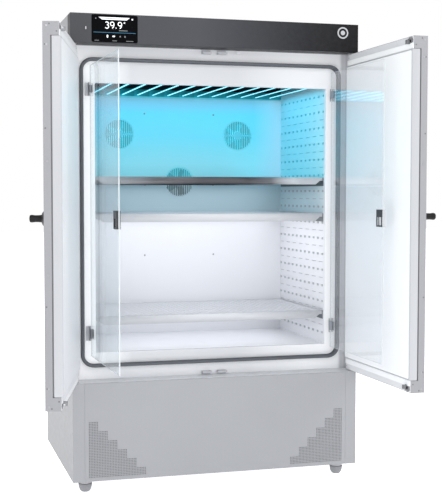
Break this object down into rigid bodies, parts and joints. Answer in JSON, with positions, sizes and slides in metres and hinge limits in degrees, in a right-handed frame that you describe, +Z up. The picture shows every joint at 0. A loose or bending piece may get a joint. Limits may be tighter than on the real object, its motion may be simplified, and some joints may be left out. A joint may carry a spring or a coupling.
{
  "type": "laboratory incubator cabinet",
  "caption": "Upright laboratory incubator with outer doors and inner glass doors open, lit perforated chamber, shelves, display header and a machine base on levelling feet.",
  "frame": {"origin": "centre of the flat underside of the machine tray, under the middle of the cabinet", "axes": "+X to the right seen from the front, +Y towards the rear panel, +Z up"},
  "size_m": [1.5821, 1.4159, 1.9893],
  "materials": {
    "cabinet_paint": "satin powder coat",
    "fascia_paint": "dark satin powder coat",
    "display_black": "black glass",
    "dark_plastic": "fine texture",
    "badge_metal": "satin",
    "rear_zinc": "galvanised",
    "frame_paint": "satin powder coat",
    "gasket_rubber": "matte",
    "foam": "rigid foam",
    "stainless": "brushed",
    "white_paint": "satin",
    "louvre_aluminium": "satin",
    "led_white": "lit diffuser",
    "motor_black": "gloss",
    "coil_aluminium": "finned",
    "door_paint": "satin powder coat",
    "door_liner_white": "formed sheet",
    "screw_steel": "zinc",
    "fan_plastic": "moulded",
    "foot_plastic": "moulded",
    "compressor_black": "gloss",
    "glass_clear": "clear",
    "lamp_white": "opal"
  },
  "bodies": {
    "cabinet": {"side_panels": "cabinet_paint", "header_hood": "cabinet_paint", "header_fascia": "fascia_paint", "display_screen": "display_black", "header_port": "dark_plastic", "header_badge": "badge_metal", "rear_panel": "rear_zinc", "mains_inlet": "dark_plastic", "front_frame": "frame_paint", "door_gasket": "gasket_rubber", "insulation": "foam", "chamber_side_liners": "stainless", "chamber_floor": "stainless", "chamber_ceiling": "stainless", "rear_baffle": "stainless", "light_louvre": "louvre_aluminium", "led_bars": "led_white", "fan_motors": "motor_black", "evaporator_coil": "coil_aluminium", "shelf_runners": "stainless", "base_casing": "cabinet_paint", "service_panel": "cabinet_paint", "air_grilles": "white_paint", "underside_plate": "rear_zinc", "compressor": "compressor_black", "condenser_unit": "coil_aluminium", "door_hinge_pins": "screw_steel", "strike_brackets": "stainless", "door_sensor_tab": "white_paint", "glass_hinge_leaves": "stainless"},
    "fan_left": {"fan_rotor_left": "fan_plastic"},
    "fan_middle": {"fan_rotor_middle": "fan_plastic"},
    "fan_right": {"fan_rotor_right": "fan_plastic"},
    "condenser_fan": {"condenser_fan_rotor": "fan_plastic"},
    "foot_front_left": {"foot_front_left": "foot_plastic"},
    "foot_front_right": {"foot_front_right": "foot_plastic"},
    "foot_rear_left": {"foot_rear_left": "foot_plastic"},
    "foot_rear_right": {"foot_rear_right": "foot_plastic"},
    "left_door": {"left_door_shell": "door_paint", "left_door_liner": "door_liner_white", "left_door_trim": "dark_plastic", "left_door_screws": "screw_steel"},
    "left_knob": {"left_knob": "dark_plastic"},
    "left_latch_top": {"left_latch_top": "screw_steel"},
    "left_latch_bottom": {"left_latch_bottom": "screw_steel"},
    "left_glass_door": {"left_glass_pane": "glass_clear", "left_glass_fittings": "dark_plastic"},
    "right_door": {"right_door_shell": "door_paint", "right_door_liner": "door_liner_white", "right_door_trim": "dark_plastic", "right_door_screws": "screw_steel"},
    "right_knob": {"right_knob": "dark_plastic"},
    "right_latch_top": {"right_latch_top": "screw_steel"},
    "right_latch_bottom": {"right_latch_bottom": "screw_steel"},
    "right_glass_door": {"right_glass_pane": "glass_clear", "right_glass_fittings": "dark_plastic"},
    "shelf_upper": {"shelf_upper": "stainless"},
    "shelf_middle": {"shelf_middle": "white_paint", "shelf_light_panel": "lamp_white"},
    "shelf_lower": {"shelf_lower": "white_paint"}
  },
  "joints": [
    {"name": "left_door_hinge", "type": "hinge", "parent": "cabinet", "child": "left_door", "pos_m": [-0.622, -0.379, 1.1115], "axis": [0, 0, -1], "range_deg": [-104.4, 15]},
    {"name": "right_door_hinge", "type": "hinge", "parent": "cabinet", "child": "right_door", "pos_m": [0.622, -0.379, 1.1115], "axis": [0, 0, 1], "range_deg": [-90.9, 28]},
    {"name": "left_glass_hinge", "type": "hinge", "parent": "cabinet", "child": "left_glass_door", "pos_m": [-0.54, -0.334, 1.12], "axis": [0, 0, -1], "range_deg": [-88.5, 13]},
    {"name": "right_glass_hinge", "type": "hinge", "parent": "cabinet", "child": "right_glass_door", "pos_m": [0.54, -0.334, 1.12], "axis": [0, 0, 1], "range_deg": [-91, 28.5]},
    {"name": "left_knob_turn", "type": "hinge", "parent": "left_door", "child": "left_knob", "pos_m": [-0.80394, -0.93884, 1.1085], "axis": [-0.9686, 0.2487, 0], "range_deg": [0, 90]},
    {"name": "left_latch_top_slide", "type": "slide", "parent": "left_door", "child": "left_latch_top", "axis": [0, 0, 1], "range_m": [0, 0.008]},
    {"name": "left_latch_bottom_slide", "type": "slide", "parent": "left_door", "child": "left_latch_bottom", "axis": [0, 0, -1], "range_m": [0, 0.0081]},
    {"name": "right_knob_turn", "type": "hinge", "parent": "right_door", "child": "right_knob", "pos_m": [0.66822, -0.96585, 1.1085], "axis": [0.9999, 0.0157, 0], "range_deg": [0, 90]},
    {"name": "right_latch_top_slide", "type": "slide", "parent": "right_door", "child": "right_latch_top", "axis": [0, 0, 1], "range_m": [0, 0.008]},
    {"name": "right_latch_bottom_slide", "type": "slide", "parent": "right_door", "child": "right_latch_bottom", "axis": [0, 0, -1], "range_m": [0, 0.0081]},
    {"name": "shelf_upper_slide", "type": "slide", "parent": "cabinet", "child": "shelf_upper", "axis": [0, -1, 0], "range_m": [0, 0.4]},
    {"name": "shelf_middle_slide", "type": "slide", "parent": "cabinet", "child": "shelf_middle", "axis": [0, -1, 0], "range_m": [0, 0.4]},
    {"name": "shelf_lower_slide", "type": "slide", "parent": "cabinet", "child": "shelf_lower", "axis": [0, -1, 0], "range_m": [0, 0.4]},
    {"name": "fan_left_spin", "type": "hinge", "parent": "cabinet", "child": "fan_left", "pos_m": [-0.296, 0.306, 1.481], "axis": [0, 1, 0], "continuous": true},
    {"name": "fan_middle_spin", "type": "hinge", "parent": "cabinet", "child": "fan_middle", "pos_m": [0, 0.306, 1.253], "axis": [0, 1, 0], "continuous": true},
    {"name": "fan_right_spin", "type": "hinge", "parent": "cabinet", "child": "fan_right", "pos_m": [0.296, 0.306, 1.481], "axis": [0, 1, 0], "continuous": true},
    {"name": "condenser_fan_spin", "type": "hinge", "parent": "cabinet", "child": "condenser_fan", "pos_m": [-0.15, 0.311, 0.162], "axis": [0, 1, 0], "continuous": true},
    {"name": "foot_front_left_turn", "type": "hinge", "parent": "cabinet", "child": "foot_front_left", "pos_m": [-0.568, -0.341, 0], "axis": [0, 0, 1], "continuous": true},
    {"name": "foot_front_right_turn", "type": "hinge", "parent": "cabinet", "child": "foot_front_right", "pos_m": [0.568, -0.341, 0], "axis": [0, 0, 1], "continuous": true},
    {"name": "foot_rear_left_turn", "type": "hinge", "parent": "cabinet", "child": "foot_rear_left", "pos_m": [-0.568, 0.341, 0], "axis": [0, 0, 1], "continuous": true},
    {"name": "foot_rear_right_turn", "type": "hinge", "parent": "cabinet", "child": "foot_rear_right", "pos_m": [0.568, 0.341, 0], "axis": [0, 0, 1], "continuous": true}
  ],
  "couplings": [
    {"joint": "left_glass_hinge", "follows": "left_door_hinge", "ratio": 0.84483},
    {"joint": "right_glass_hinge", "follows": "right_door_hinge", "ratio": 0.99835},
    {"joint": "left_knob_turn", "follows": "left_latch_top_slide", "rad_per_m": 196.35},
    {"joint": "left_latch_bottom_slide", "follows": "left_latch_top_slide", "ratio": 1},
    {"joint": "right_knob_turn", "follows": "right_latch_top_slide", "rad_per_m": 196.35},
    {"joint": "right_latch_bottom_slide", "follows": "right_latch_top_slide", "ratio": 1}
  ]
}
